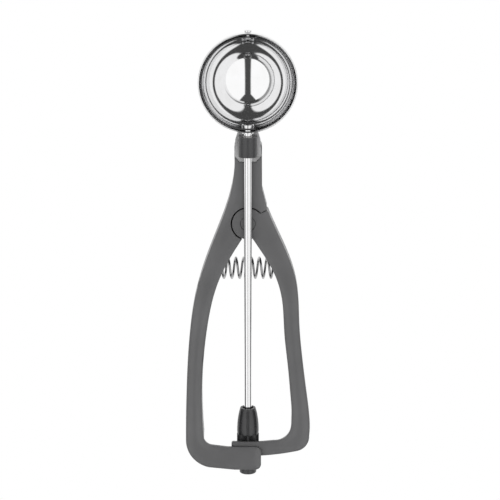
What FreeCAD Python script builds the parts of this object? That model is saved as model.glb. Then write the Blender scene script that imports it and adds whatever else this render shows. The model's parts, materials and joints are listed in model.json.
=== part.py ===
"""Lever ice cream scoop: a bowl on a V shaped squeeze handle, whose toothed bar turns a rod and a blade.

The sizes are worked out in a local frame: the lever's pivot is at X = Y = 0, the rod's axis is the
Y axis and points at the bowl, and the bowl's mouth faces +Z. Every sub-part is then placed so that
the row's origin is under the middle of the object, at the height of the bowl's lowest point.
"""
import FreeCAD, Part
import math
import os
import re
import Sketcher

Vector = FreeCAD.Vector

# Driving dimensions, in millimetres unless a name says otherwise

SIZES = {
    # Bowl
    "bowl_inner_radius": 28.3,
    "bowl_wall": 0.9,
    "rim_height": 4.5,
    "rim_round": 0.35,
    "bowl_reach": 85.5,
    # Saddle between the bowl and the neck
    "saddle_sheet": 1.4,
    "saddle_drop": 3.6,
    "saddle_top_half": 5.8,
    "saddle_top_inset": 1.6,
    "saddle_top_slope": 0.8,
    "saddle_half": 8.1,
    "saddle_wing_drop": 15.3,
    "saddle_tip_half": 5.0,
    "saddle_tip_drop": 18.9,
    "tongue_top_degrees": 8.0,
    "tongue_end_degrees": 52.0,
    "tongue_spread_degrees": 32.0,
    # Rod and its bearings
    "rod_radius": 2.3,
    "running_gap": 0.05,
    "bushing_wall": 0.5,
    "collar_half": 5.5,
    "collar_shoulder": 1.2,
    "collar_crown": 3.9,
    "collar_gap": 2.8,
    "collar_length": 12.1,
    "eyelet_flange": 0.65,
    "eyelet_flange_depth": 0.8,
    "rod_past_nut": 1.4,
    "rod_in_pinion": 29.7,
    # Collar screws, driven from behind the neck
    "screw_radius": 0.75,
    "screw_head_radius": 1.7,
    "screw_head_depth": 1.4,
    "screw_offset": 4.15,
    "screw_bite": 3.4,
    "screw_slot": 0.5,
    # Sweep blade
    "blade_gap": 0.4,
    "blade_sheet": 0.8,
    "blade_half": 4.45,
    "blade_past_degrees": 10.0,
    "nut_radius": 3.6,
    "nut_length": 2.2,
    "nut_round": 0.6,
    "tip_pin_radius": 1.2,
    "tip_head_radius": 2.35,
    "tip_head_depth": 1.15,
    "tip_head_round": 0.4,
    "tip_nub_radius": 1.9,
    "tip_nub_depth": 1.0,
    "tip_eyelet_wall": 0.6,
    "tip_play": 0.3,
    # Handle depth, from the front face at the hub backwards
    "hub_front": 2.8,
    "grip_depth": 13.0,
    "neck_thinning": 3.2,
    "neck_start": 22.0,
    "neck_gap": 4.3,
    "neck_straight": 12.0,
    "neck_shoulder": 5.0,
    "sweep_start": -12.0,
    "sweep_end_rise": 12.5,
    "foot_back": 6.5,
    "lever_foot_back": 3.0,
    # Hub
    "hub_radius": 9.4,
    "hub_gap": 0.85,
    "cheek_thickness": 5.9,
    "cheek_gap": 0.3,
    "lever_heel_gap": 0.7,
    "pivot_radius": 2.5,
    "pivot_head_radius": 4.3,
    "pivot_head_depth": 1.5,
    "pivot_head_gap": 0.25,
    "pivot_tail": 1.0,
    "pivot_sleeve_wall": 0.55,
    "washer_radius": 5.2,
    "washer_sheet": 0.6,
    "push_nut_radius": 4.8,
    "push_nut_sheet": 1.0,
    "valley_degrees": 41.0,
    "left_root_degrees": 249.3,
    "right_root_degrees": 287.0,
    "shoulder_out": 11.5,
    "shoulder_rise": 9.0,
    "lever_shoulder_out": 11.8,
    "lever_shoulder_rise": 8.1,
    # Left leg, the X of its edges from the neck to the foot
    "left_outer_1": -7.9,
    "left_outer_2": -7.45,
    "left_outer_3": -11.05,
    "left_outer_4": -23.3,
    "left_outer_5": -32.5,
    "left_outer_6": -35.75,
    "left_outer_7": -36.85,
    "left_outer_8": -37.25,
    "left_outer_9": -37.25,
    "left_outer_rise": 10.9,
    "left_inner_2": -8.75,
    "left_inner_3": -18.2,
    "left_inner_4": -23.8,
    "left_inner_5": -26.8,
    "left_inner_6": -28.0,
    "left_inner_7": -27.2,
    "left_inner_8": -26.7,
    "left_inner_rise": 12.5,
    # Right leg, the X of its edges from the hub to the foot
    "right_outer_2": 14.6,
    "right_outer_3": 22.3,
    "right_outer_4": 30.7,
    "right_outer_5": 30.35,
    "right_outer_6": 32.7,
    "right_outer_7": 35.6,
    "right_outer_8": 37.85,
    "right_outer_9": 36.9,
    "right_outer_rise": 11.9,
    "right_inner_2": 6.8,
    "right_inner_3": 16.0,
    "right_inner_4": 21.4,
    "right_inner_5": 21.3,
    "right_inner_6": 24.1,
    "right_inner_7": 25.5,
    "right_inner_8": 26.85,
    "right_inner_9": 25.8,
    "right_inner_rise": 17.0,
    "neck_right": 8.3,
    "neck_right_low": 8.4,
    "neck_right_low_y": 21.0,
    "corner_round": 1.2,
    # Foot of the left leg
    "foot_right": 7.9,
    "foot_wall": 7.35,
    "foot_rise": 5.9,
    "foot_corner": 3.5,
    "foot_sweep_in": 23.5,
    "foot_sweep_radius": 17.5,
    "foot_sweep_lift": 1.55,
    "heel_run": 2.6,
    "heel_rise": 1.3,
    "foot_flat_start": 8.0,
    "foot_inner_radius": 6.0,
    "foot_inner_out": 5.2,
    "foot_inner_lift": 1.2,
    "foot_top_start": 12.0,
    "plate_thickness": 3.0,
    "plate_gap": 0.3,
    "bar_slot_depth": 31.5,
    "bar_slot_rise": 11.5,
    "bar_slot_gap": 1.05,
    # Toothed bar of the right leg
    "bar_outer": 140.5,
    "bar_width": 7.95,
    "bar_bulge": 0.8,
    "rack_lip": 1.5,
    "bar_front": 9.9,
    "bar_left": 9.9,
    "bar_leg_start": 26.2,
    "bar_corner_radius": 9.74,
    "bar_corner_x": 15.5,
    "lever_corner_radius": 9.2,
    "lever_corner_x": 29.5,
    # Teeth
    "pinion_teeth": 8.0,
    "rack_teeth": 208.0,
    "tooth_module": 1.32,
    "rack_addendum": 0.8,
    "tooth_clearance": 0.3,
    "tooth_slope_degrees": 20.0,
    "rack_tooth_slack": 0.55,
    "pinion_tooth_slack": 0.45,
    "pinion_dedendum": 1.65,
    "rack_gaps_ahead": 5.0,
    "rack_gaps_behind": 1.0,
    "rack_end": 4.0,
    # Pinion
    "pinion_rise": 27.2,
    "pinion_top_radius": 4.6,
    "pinion_mouth_radius": 3.3,
    "pinion_mouth_depth": 2.0,
    "bell_wide_rise": 12.9,
    "bell_radius": 6.6,
    "bell_end_rise": 10.9,
    "bell_end_radius": 6.4,
    "bell_curve_radius": 52.0,
    "flute_half": 0.75,
    "flute_depth": 0.6,
    "flute_lead": 1.3,
    "pinion_end_gap": 0.3,
    "cross_pin_radius": 0.8,
    "cross_pin_lead": 5.7,
    "stem_radius": 3.0,
    "stem_play": 0.4,
    "stem_in_cap": 2.6,
    "foot_bushing_wall": 1.1,
    # End cap
    "cap_radius": 5.1,
    "cap_length": 5.5,
    "cap_round": 0.9,
    "cap_screw_radius": 1.2,
    "cap_screw_head_radius": 2.4,
    "cap_screw_head_depth": 1.3,
    "cap_screw_bite": 4.0,
    # Return spring
    "spring_y": -28.8,
    "spring_drop": 10.3,
    "spring_radius": 6.15,
    "spring_wire": 1.4,
    "spring_seat": 21.0,
    "spring_turns": 7.0,
    "spring_bend_radius": 1.5,
    "spring_peg_radius": 3.6,
    "spring_peg_length": 2.6,
    "spring_notch_half": 7.3,
    "spring_notch_gap": 0.2,
}

# Sizes that follow from the driving ones

DERIVED = {
    "BOWL_OUTER": "(bowl_inner_radius + bowl_wall)",
    "TIP_WALL": "(bowl_reach + bowl_inner_radius + bowl_wall)",
    "TIP_HEAD": "(bowl_reach + bowl_inner_radius + bowl_wall + tip_play)",
    "TIP_END": "(bowl_reach + bowl_inner_radius + bowl_wall + tip_play + tip_head_depth)",
    "ROD_WALL": "(bowl_reach - bowl_inner_radius - bowl_wall)",
    "BLADE_OUTER": "(bowl_inner_radius - blade_gap)",
    "BLADE_INNER": "(bowl_inner_radius - blade_gap - blade_sheet)",
    "BUSHING_INNER": "(rod_radius + running_gap)",
    "BUSHING_OUTER": "(rod_radius + running_gap + bushing_wall)",
    "NECK_TOP": "(ROD_WALL - neck_gap)",
    "NECK_SIDE_END": "(ROD_WALL - neck_gap - neck_straight)",
    "COLLAR_START": "(ROD_WALL - collar_gap - collar_length)",
    "SADDLE_WING": "(ROD_WALL - saddle_wing_drop)",
    "SADDLE_TIP": "(ROD_WALL - saddle_tip_drop)",
    "SCREW_Y": "(ROD_WALL - collar_gap - collar_length / 2)",
    "SADDLE_BACK": "(saddle_drop + saddle_sheet)",
    "HANDLE_BACK": "(hub_front + grip_depth)",
    "NECK_BACK": "(hub_front + grip_depth - neck_thinning)",
    "CHEEK_FRONT": "(hub_front + grip_depth - cheek_thickness)",
    "DISC_BACK": "(hub_front + grip_depth - cheek_thickness - cheek_gap)",
    "POCKET_RADIUS": "(hub_radius + hub_gap)",
    "PLATE_BACK": "(bar_front + plate_gap)",
    "PLATE_FRONT": "(bar_front + plate_gap + plate_thickness)",
    "BAR_INNER": "(bar_outer - bar_width)",
    "BAR_BELLY": "(bar_outer + bar_bulge)",
    "TOOTH_START": "(bar_outer - bar_width + rack_lip)",
    "SWEEP_END": "(sweep_end_rise - bar_outer)",
    "LEFT_OUTER_END": "(left_outer_rise - bar_outer)",
    "LEFT_INNER_END": "(left_inner_rise - bar_outer)",
    "RIGHT_OUTER_END": "(right_outer_rise - bar_outer)",
    "RIGHT_INNER_END": "(right_inner_rise - bar_outer)",
    "BAR_SLOT_TOP": "(bar_outer - bar_slot_rise)",
    "FOOT_TOP": "(bar_outer - foot_rise)",
    "FOOT_WALL_TOP": "(bar_outer + bar_slot_gap)",
    "FOOT_BOTTOM": "(bar_outer + bar_slot_gap + foot_wall)",
    "PITCH_RADIUS": "(tooth_module * pinion_teeth / 2)",
    "TIP_RADIUS": "(tooth_module * (pinion_teeth / 2 + 1))",
    "ROOT_RADIUS": "(tooth_module * pinion_teeth / 2 - pinion_dedendum)",
    "RACK_TIP": "(tooth_module * pinion_teeth / 2 - rack_addendum)",
    "RACK_ROOT": "(tooth_module * (pinion_teeth / 2 + 1) + tooth_clearance)",
    "TOOTH_PITCH": "(tooth_module * pi)",
    "PINION_TOP": "(bar_outer - pinion_rise)",
    "BELL_WIDE": "(bar_outer - bell_wide_rise)",
    "BELL_END": "(bar_outer - bell_end_rise)",
    "FLUTE_START": "(bar_outer - pinion_rise + flute_lead)",
    "CROSS_PIN_Y": "(bar_outer - pinion_rise + cross_pin_lead)",
    "CAP_TOP": "(FOOT_BOTTOM + stem_play)",
    "CAP_END": "(FOOT_BOTTOM + stem_play + cap_length)",
    "FOOT_BORE": "(stem_radius + running_gap + foot_bushing_wall)",
    "WASHER_FRONT": "(hub_front + grip_depth)",
    "WASHER_BACK": "(hub_front + grip_depth + washer_sheet)",
    "NUT_BACK": "(hub_front + grip_depth + washer_sheet + push_nut_sheet)",
    "SLEEVE_OUTER": "(pivot_radius + running_gap + pivot_sleeve_wall)",
    "HEAD_SEAT": "(hub_front + pivot_head_depth + running_gap)",
    "ROD_END": "(PINION_TOP + rod_in_pinion)",
    "GEAR_END": "(bar_outer + bar_slot_gap - pinion_end_gap)",
    "STEM_END": "(FOOT_BOTTOM + stem_play + stem_in_cap)",
    "SCREW_TIP": "(FOOT_BOTTOM + stem_play + stem_in_cap - cap_screw_bite)",
    "NUT_START": "(bowl_reach - sqrt(BLADE_INNER * BLADE_INNER - nut_radius * nut_radius))",
    "NUB_START": "(bowl_reach + sqrt(BLADE_INNER * BLADE_INNER - tip_nub_radius * tip_nub_radius))",
}
ORIGIN_Y = "(CAP_END - TIP_END) / 2"
ORIGIN_Z = "BOWL_OUTER"

doc = FreeCAD.newDocument("ice_cream_scoop")
sheet = doc.addObject("Spreadsheet::Sheet", "sizes")
for row, (alias, value) in enumerate(SIZES.items(), start=1):
    sheet.set("A%d" % row, alias)
    sheet.set("B%d" % row, str(value))
    sheet.setAlias("B%d" % row, alias)
doc.recompute()


def bound(text):
    """The expression that a property is bound to, for a formula written in the names above."""
    while any(word in DERIVED for word in re.findall(r"[A-Z_]+", text)):
        text = re.sub(r"\b[A-Z][A-Z_]+\b", lambda word: DERIVED.get(word.group(), word.group()), text)
    return re.sub(r"\b[a-z][a-z_0-9]+\b", lambda word: prefixed(word.group()), text)


def prefixed(word):
    return "sizes." + word if word in SIZES else word


def size(text):
    """The value of a formula at the sheet's present sizes."""
    return float(sheet.evalExpression(bound(text)))


# Helpers for bodies and sketches

SUB_PARTS = []


def placed(item, name):
    """Give a sub-part its name and put it in the row's frame."""
    item.Label = name
    item.setExpression("Placement.Base.y", bound(ORIGIN_Y))
    item.setExpression("Placement.Base.z", bound(ORIGIN_Z))
    SUB_PARTS.append(item)
    return item


def new_body(name):
    return placed(doc.addObject("PartDesign::Body", name), name)


def sketch_on(body, role, offset="0"):
    """A sketch on one of the body's own planes, moved along the plane's normal."""
    plane = next(item for item in body.Origin.OriginFeatures if item.Role == role)
    sketch = body.newObject("Sketcher::SketchObject", body.Name + "_sketch")
    sketch.AttachmentSupport = (plane, [""])
    sketch.MapMode = "FlatFace"
    sketch.setExpression("AttachmentOffset.Base.z", bound(offset))
    return sketch


def pin_point(sketch, shape, point, x_text, y_text):
    """Fix a point of a sketch at two bound distances from the sketch's origin."""
    for kind, text in (("DistanceX", x_text), ("DistanceY", y_text)):
        index = sketch.addConstraint(Sketcher.Constraint(kind, -1, 1, shape, point, size(text)))
        sketch.setExpression("Constraints[%d]" % index, bound(text))


def arc_through(start, end, radius, side):
    """A circular arc that turns left (side 1) or right (side -1) on its way from start to end."""
    chord = end - start
    half = chord.Length / 2
    normal = Vector(-chord.y, chord.x, 0).normalize() * side
    rise = math.sqrt(max(radius * radius - half * half, 0.0))
    middle = (start + end) / 2 - normal * (radius - rise)
    return Part.Arc(start, middle, end)


def outline(sketch, corners):
    """Draw a closed outline.

    Each corner is (x, y), or (x, y, way) where way says how the edge runs on to the next corner:
    ("arc", radius, side) or ("spline", [x, x, ...]), the poles between the two corners, whose Y is
    spread so that the curve is a function of Y.
    """
    points = [Vector(size(corner[0]), size(corner[1]), 0) for corner in corners]
    edges = []
    for place, corner in enumerate(corners):
        following = corners[(place + 1) % len(corners)]
        start = points[place]
        end = points[(place + 1) % len(corners)]
        if len(corner) == 2:
            edges.append(sketch.addGeometry(Part.LineSegment(start, end), False))
            pin_point(sketch, edges[-1], 1, corner[0], corner[1])
        elif corner[2][0] == "arc":
            radius, side = corner[2][1:]
            edges.append(sketch.addGeometry(arc_through(start, end, size(radius), side), False))
            first = 1 if side > 0 else 2
            pin_point(sketch, edges[-1], first, corner[0], corner[1])
            index = sketch.addConstraint(Sketcher.Constraint("Radius", edges[-1], size(radius)))
            sketch.setExpression("Constraints[%d]" % index, bound(radius))
        else:
            edges.append(spline(sketch, corner, following))
    for place, corner in enumerate(corners):
        turned = len(corner) > 2 and corner[2][0] == "arc" and corner[2][2] < 0
        next_corner = corners[(place + 1) % len(corners)]
        next_turned = len(next_corner) > 2 and next_corner[2][0] == "arc" and next_corner[2][2] < 0
        end = 1 if turned else 2
        start = 2 if next_turned else 1
        following = edges[(place + 1) % len(corners)]
        sketch.addConstraint(Sketcher.Constraint("Coincident", edges[place], end, following, start))


def spline(sketch, corner, following):
    """A smooth curve between two corners, through poles whose places are bound to the sheet."""
    inner = corner[2][1]
    count = len(inner) + 2
    knots = [0.0] * 4 + [step / (count - 3) for step in range(1, count - 3)] + [1.0] * 4
    shares = [sum(knots[place + 1:place + 4]) / 3 for place in range(count)]
    poles = [(corner[0], corner[1])]
    for x_text, share in zip(inner, shares[1:-1]):
        y_text = "(%s) + ((%s) - (%s)) * %.6f" % (corner[1], following[1], corner[1], share)
        poles.append((x_text, y_text))
    poles.append((following[0], following[1]))
    curve = Part.BSplineCurve()
    places = [Vector(size(x_text), size(y_text), 0) for x_text, y_text in poles]
    simple = [step / (count - 3) for step in range(count - 2)]
    curve.buildFromPolesMultsKnots(places, [4] + [1] * (count - 4) + [4], simple, False, 3)
    shape = sketch.addGeometry(curve, False)
    before = sketch.GeometryCount
    sketch.exposeInternalGeometry(shape)
    for place, (x_text, y_text) in enumerate(poles[:-1]):
        pin_point(sketch, before + place, 3, x_text, y_text)
    return shape


def box_corners(low_x, low_y, high_x, high_y):
    return [(low_x, low_y), (high_x, low_y), (high_x, high_y), (low_x, high_y)]


def circle(sketch, x_text, y_text, radius):
    shape = sketch.addGeometry(Part.Circle(Vector(size(x_text), size(y_text), 0), Vector(0, 0, 1),
                                           size(radius)), False)
    pin_point(sketch, shape, 3, x_text, y_text)
    index = sketch.addConstraint(Sketcher.Constraint("Radius", shape, size(radius)))
    sketch.setExpression("Constraints[%d]" % index, bound(radius))
    return shape


def feature(body, kind, sketch, **bindings):
    """A PartDesign feature on a sketch, with its sizes bound and the change in volume checked."""
    doc.recompute()
    before = body.Shape.Volume if not body.Shape.isNull() else 0.0
    made = body.newObject("PartDesign::" + kind, body.Name + "_" + kind.lower())
    made.Profile = sketch
    for name, text in bindings.items():
        made.setExpression(name, bound(text))
    doc.recompute()
    if abs(body.Shape.Volume - before) < 1e-6 or "Invalid" in made.State:
        raise RuntimeError("%s changes nothing on %s %s" % (made.Name, body.Label, made.getStatusString()))
    return made


def pad(body, sketch, length):
    return feature(body, "Pad", sketch, Length=length)


def pocket(body, sketch, depth):
    """Cut along the sketch's normal, backwards."""
    return feature(body, "Pocket", sketch, Length=depth)


def turned(body, kind, sketch, axis="V_Axis", angle=None):
    """A Revolution or Groove about a sketch axis, a full turn or an angle shared both ways."""
    doc.recompute()
    before = body.Shape.Volume if not body.Shape.isNull() else 0.0
    made = body.newObject("PartDesign::" + kind, body.Name + "_" + kind.lower())
    made.Profile = sketch
    made.ReferenceAxis = (sketch, [axis])
    if angle:
        made.Midplane = True
        made.setExpression("Angle", bound(angle))
    doc.recompute()
    if abs(body.Shape.Volume - before) < 1e-6:
        raise RuntimeError("%s changes nothing on %s" % (made.Name, body.Label))
    return made


def rod_along_y(body, radius, near, far):
    """A round bar along the rod's axis, from the Y called near down to the Y called far."""
    sketch = sketch_on(body, "XZ_Plane", "-(%s)" % near)
    circle(sketch, "0", "0", radius)
    return pad(body, sketch, "(%s) - (%s)" % (near, far))


def bore_along_y(body, radius, near, far, x_text="0", z_text="0"):
    """A round hole along Y, cut from the Y called far up to the Y called near."""
    sketch = sketch_on(body, "XZ_Plane", "-(%s)" % far)
    circle(sketch, x_text, z_text, radius)
    return pocket(body, sketch, "(%s) - (%s)" % (near, far))


def rod_along_z(body, x_text, y_text, radius, low, high):
    sketch = sketch_on(body, "XY_Plane", low)
    circle(sketch, x_text, y_text, radius)
    return pad(body, sketch, "(%s) - (%s)" % (high, low))


def bore_along_z(body, x_text, y_text, radius, low, high):
    sketch = sketch_on(body, "XY_Plane", high)
    circle(sketch, x_text, y_text, radius)
    return pocket(body, sketch, "(%s) - (%s)" % (high, low))


def rounded(body, radius, wanted):
    """Fillet the edges of the body for which wanted(edge, faces) is true."""
    doc.recompute()
    last = body.Tip
    names = ["Edge%d" % number for number, edge in enumerate(last.Shape.Edges, start=1)
             if wanted(edge, last.Shape.ancestorsOfType(edge, Part.Face))]
    made = body.newObject("PartDesign::Fillet", body.Name + "_fillet")
    made.Base = (last, names)
    made.setExpression("Radius", bound(radius))
    doc.recompute()
    if "Invalid" in made.State:
        raise RuntimeError("%s failed on %s edges: %s" % (made.Name, len(names), made.getStatusString()))
    return made


# Bowl

def bowl():
    body = new_body("bowl")
    sketch = sketch_on(body, "XZ_Plane", "-bowl_reach")
    outline(sketch, [
        ("0", "-BOWL_OUTER", ("arc", "BOWL_OUTER", 1)),
        ("BOWL_OUTER", "0"),
        ("BOWL_OUTER", "rim_height"),
        ("bowl_inner_radius", "rim_height"),
        ("bowl_inner_radius", "0", ("arc", "bowl_inner_radius", -1)),
        ("0", "-bowl_inner_radius"),
    ])
    turned(body, "Revolution", sketch)
    bore_along_y(body, "BUSHING_OUTER", "ROD_WALL + 3 * bowl_wall", "ROD_WALL - bowl_wall")
    bore_along_y(body, "tip_pin_radius + running_gap + tip_eyelet_wall", "TIP_WALL + bowl_wall",
                 "TIP_WALL - 3 * bowl_wall")
    rim = size("rim_height")
    rounded(body, "rim_round", lambda edge, faces: edge.BoundBox.ZMin > rim - 1e-4)


def saddle_corners():
    """The saddle plate's outline, which the neck is also cut to."""
    return [
        ("-saddle_tip_half", "SADDLE_TIP"),
        ("saddle_tip_half", "SADDLE_TIP"),
        ("saddle_half", "SADDLE_WING"),
        ("saddle_top_half + saddle_top_inset", "NECK_TOP - saddle_top_slope"),
        ("saddle_top_half", "ROD_WALL"),
        ("saddle_top_half", "ROD_WALL + 2 * saddle_sheet"),
        ("-saddle_top_half", "ROD_WALL + 2 * saddle_sheet"),
        ("-saddle_top_half", "ROD_WALL"),
        ("-saddle_top_half - saddle_top_inset", "NECK_TOP - saddle_top_slope"),
        ("-saddle_half", "SADDLE_WING"),
    ]


def bowl_saddle():
    body = new_body("bowl_saddle")
    sketch = sketch_on(body, "XY_Plane", "-SADDLE_BACK")
    outline(sketch, saddle_corners())
    pad(body, sketch, "saddle_sheet")
    tongue = sketch_on(body, "YZ_Plane")
    top = "tongue_top_degrees * 1 deg"
    end = "tongue_end_degrees * 1 deg"
    outer = "(BOWL_OUTER + saddle_sheet)"
    outline(tongue, [
        ("bowl_reach - BOWL_OUTER * cos(%s)" % top, "-BOWL_OUTER * sin(%s)" % top, ("arc", "BOWL_OUTER", 1)),
        ("bowl_reach - BOWL_OUTER * cos(%s)" % end, "-BOWL_OUTER * sin(%s)" % end),
        ("bowl_reach - %s * cos(%s)" % (outer, end), "-%s * sin(%s)" % (outer, end), ("arc", outer, -1)),
        ("bowl_reach - %s * cos(%s)" % (outer, top), "-%s * sin(%s)" % (outer, top)),
    ])
    axis = tongue.addGeometry(Part.LineSegment(Vector(size("bowl_reach"), 0, 0),
                                               Vector(size("bowl_reach"), 1, 0)), True)
    pin_point(tongue, axis, 1, "bowl_reach", "0")
    pin_point(tongue, axis, 2, "bowl_reach", "1")
    turned(body, "Revolution", tongue, "Axis0", "tongue_spread_degrees")
    dome = sketch_on(body, "XZ_Plane", "-bowl_reach")
    outline(dome, [
        ("0", "-BOWL_OUTER", ("arc", "BOWL_OUTER", 1)),
        ("BOWL_OUTER", "0"),
        ("0", "0"),
    ])
    turned(body, "Groove", dome)
    screw_holes(body, "-SADDLE_BACK - saddle_sheet", "-saddle_drop + saddle_sheet")


def screw_holes(body, low, high):
    sketch = sketch_on(body, "XY_Plane", high)
    for side in ("", "-"):
        circle(sketch, side + "screw_offset", "SCREW_Y", "screw_radius")
    pocket(body, sketch, "(%s) - (%s)" % (high, low))


# Neck pieces

def rod_collar():
    body = new_body("rod_collar")
    sketch = sketch_on(body, "XZ_Plane", "-(COLLAR_START + collar_length)")
    crown = "((collar_half * collar_half + collar_crown * collar_crown) / (2 * collar_crown))"
    outline(sketch, [
        ("-collar_half", "-saddle_drop"),
        ("collar_half", "-saddle_drop"),
        ("collar_half", "collar_shoulder", ("arc", crown, 1)),
        ("-collar_half", "collar_shoulder"),
    ])
    pad(body, sketch, "collar_length")
    bore_along_y(body, "BUSHING_OUTER", "COLLAR_START + collar_length + 1", "COLLAR_START - 1")
    screw_holes(body, "-saddle_drop", "-saddle_drop + screw_bite")


def bushing(name, inner, outer, near, far):
    body = new_body(name)
    sketch = sketch_on(body, "XZ_Plane", "-(%s)" % near)
    circle(sketch, "0", "0", outer)
    circle(sketch, "0", "0", inner)
    pad(body, sketch, "(%s) - (%s)" % (near, far))
    return body


def bowl_bushing():
    """The eyelet in the bowl's wall that the rod runs through, with a flange outside."""
    body = bushing("bowl_bushing", "BUSHING_INNER", "BUSHING_OUTER", "bowl_reach - bowl_inner_radius",
                   "ROD_WALL - eyelet_flange_depth")
    sketch = sketch_on(body, "XZ_Plane", "-ROD_WALL")
    circle(sketch, "0", "0", "BUSHING_OUTER + eyelet_flange")
    circle(sketch, "0", "0", "BUSHING_INNER")
    pad(body, sketch, "eyelet_flange_depth")


def collar_screws():
    """Two screws through the neck and the saddle into the collar, as one group of solids."""
    solids = []
    shank = size("screw_radius")
    head = size("screw_head_radius")
    head_low = -size("NECK_BACK")
    head_high = head_low + size("screw_head_depth")
    tip = -size("saddle_drop") + size("screw_bite")
    slot = size("screw_slot")
    for side in (-1, 1):
        place = Vector(side * size("screw_offset"), size("SCREW_Y"), head_low)
        screw = Part.makeCylinder(head, head_high - head_low, place)
        screw = screw.fuse(Part.makeCylinder(shank, tip - head_low, place))
        groove = Part.makeBox(3 * head, slot, slot, place - Vector(1.5 * head, slot / 2, 0))
        solids.append(screw.cut(groove).removeSplitter())
    group = doc.addObject("Part::Feature", "collar_screws")
    group.Shape = Part.makeCompound(solids)
    placed(group, "collar_screws")


# Handle

def side_cut(body, front_end, back_end):
    """Shape the handle's front and back as seen from the side, sweeping forward to the foot.

    The back ends in a heel, so that the scoop rests on a straight edge across the foot.
    """
    rounded(body, "corner_round", is_upright_corner)
    reach = "(2 * CAP_END)"
    far = "(4 * PLATE_FRONT)"
    half_run = "((sweep_start - SWEEP_END) / 2)"
    middle = "((sweep_start + SWEEP_END) / 2)"
    front_radius = sweep_radius(half_run, "((%s + hub_front) / 2)" % front_end)
    back_radius = sweep_radius(half_run, "((HANDLE_BACK - %s) / 2)" % back_end)
    upper = sketch_on(body, "YZ_Plane", "CAP_END")
    outline(upper, [
        (reach, far),
        ("-" + reach, far),
        ("-" + reach, front_end),
        ("SWEEP_END", front_end, ("arc", front_radius, -1)),
        (middle, "(%s - hub_front) / 2" % front_end, ("arc", front_radius, 1)),
        ("sweep_start", "-hub_front"),
        (reach, "-hub_front"),
    ])
    pocket(body, upper, "2 * CAP_END")
    lower = sketch_on(body, "YZ_Plane", "CAP_END")
    outline(lower, [
        ("-" + reach, "-" + far),
        (reach, "-" + far),
        (reach, "-NECK_BACK"),
        ("SCREW_Y - collar_length", "-NECK_BACK"),
        ("neck_start", "-HANDLE_BACK"),
        ("sweep_start", "-HANDLE_BACK", ("arc", back_radius, -1)),
        (middle, "-(HANDLE_BACK + %s) / 2" % back_end, ("arc", back_radius, 1)),
        ("SWEEP_END", "-" + back_end),
        ("heel_run - FOOT_BOTTOM", "-" + back_end),
        ("-FOOT_BOTTOM", "heel_rise - " + back_end),
        ("-" + reach, "heel_rise - " + back_end),
    ])
    pocket(body, lower, "2 * CAP_END")


def sweep_radius(run, rise):
    """The radius of two arcs that join two level lines smoothly, for half of the run and rise."""
    return "((%s * %s + %s * %s) / (2 * %s))" % (run, run, rise, rise, rise)


def is_upright_corner(edge, faces):
    """True for a corner between two side walls outside the hub, where they don't run on smoothly."""
    low, high = edge.Vertexes[0].Point, edge.Vertexes[-1].Point
    if abs(high.z - low.z) < (high - low).Length - 1e-6 or len(faces) < 2:
        return False
    middle = (low + high) / 2
    if math.hypot(middle.x, middle.y) < size("POCKET_RADIUS") + 1e-4:
        return False
    ways = [face.normalAt(*face.Surface.parameter(middle)) for face in faces]
    return math.degrees(ways[0].getAngle(ways[1])) > 12


def on_circle(radius, degrees):
    """A corner on a circle about the pivot, at an angle from the +X axis."""
    return "%s * cos(%s * 1 deg)" % (radius, degrees), "%s * sin(%s * 1 deg)" % (radius, degrees)


def below(radius, x_text):
    """The Y of a point on the lower half of a circle about the pivot."""
    return "-sqrt(%s * %s - (%s) * (%s))" % (radius, radius, x_text, x_text)


def frame_handle():
    body = new_body("frame_handle")
    leg = sketch_on(body, "XY_Plane", "-HANDLE_BACK")
    outline(leg, [
        ("left_outer_1", "NECK_TOP - neck_shoulder"),
        ("left_outer_1", "NECK_SIDE_END", ("spline", ["left_outer_%d" % place for place in range(2, 9)])),
        ("left_outer_9", "LEFT_OUTER_END", ("arc", "foot_sweep_radius", 1)),
        ("-foot_sweep_in", "-FOOT_BOTTOM + foot_sweep_lift"),
        ("-foot_flat_start", "-FOOT_BOTTOM"),
        ("foot_right - foot_corner", "-FOOT_BOTTOM", ("arc", "foot_corner", 1)),
        ("foot_right", "-FOOT_BOTTOM + foot_corner"),
        ("foot_right", "-FOOT_TOP - foot_corner", ("arc", "foot_corner", 1)),
        ("foot_right - foot_corner", "-FOOT_TOP"),
        ("-foot_top_start", "-FOOT_TOP"),
        ("left_inner_8 + foot_inner_out", "-FOOT_TOP + foot_inner_lift", ("arc", "foot_inner_radius", -1)),
        ("left_inner_8", "LEFT_INNER_END",
         ("spline", ["left_inner_%d" % place for place in range(7, 1, -1)])),
        on_circle("POCKET_RADIUS", "left_root_degrees") + (("arc", "POCKET_RADIUS", 1),),
        on_circle("POCKET_RADIUS", "valley_degrees"),
        ("shoulder_out", "shoulder_rise"),
        ("neck_right_low", "neck_right_low_y"),
        ("neck_right", "NECK_SIDE_END"),
        ("neck_right", "NECK_TOP - neck_shoulder"),
        ("saddle_top_half", "NECK_TOP"),
        ("-saddle_top_half", "NECK_TOP"),
    ])
    pad(body, leg, "HANDLE_BACK + PLATE_FRONT")
    side_cut(body, "PLATE_FRONT", "foot_back")
    bore_along_z(body, "0", "0", "POCKET_RADIUS", "-CHEEK_FRONT", "PLATE_FRONT")
    bore_along_z(body, "0", "0", "pivot_radius", "-HANDLE_BACK - pivot_tail", "-CHEEK_FRONT + pivot_tail")
    saddle_seat(body)
    foot(body)
    spring_notch(body, "-")


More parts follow.
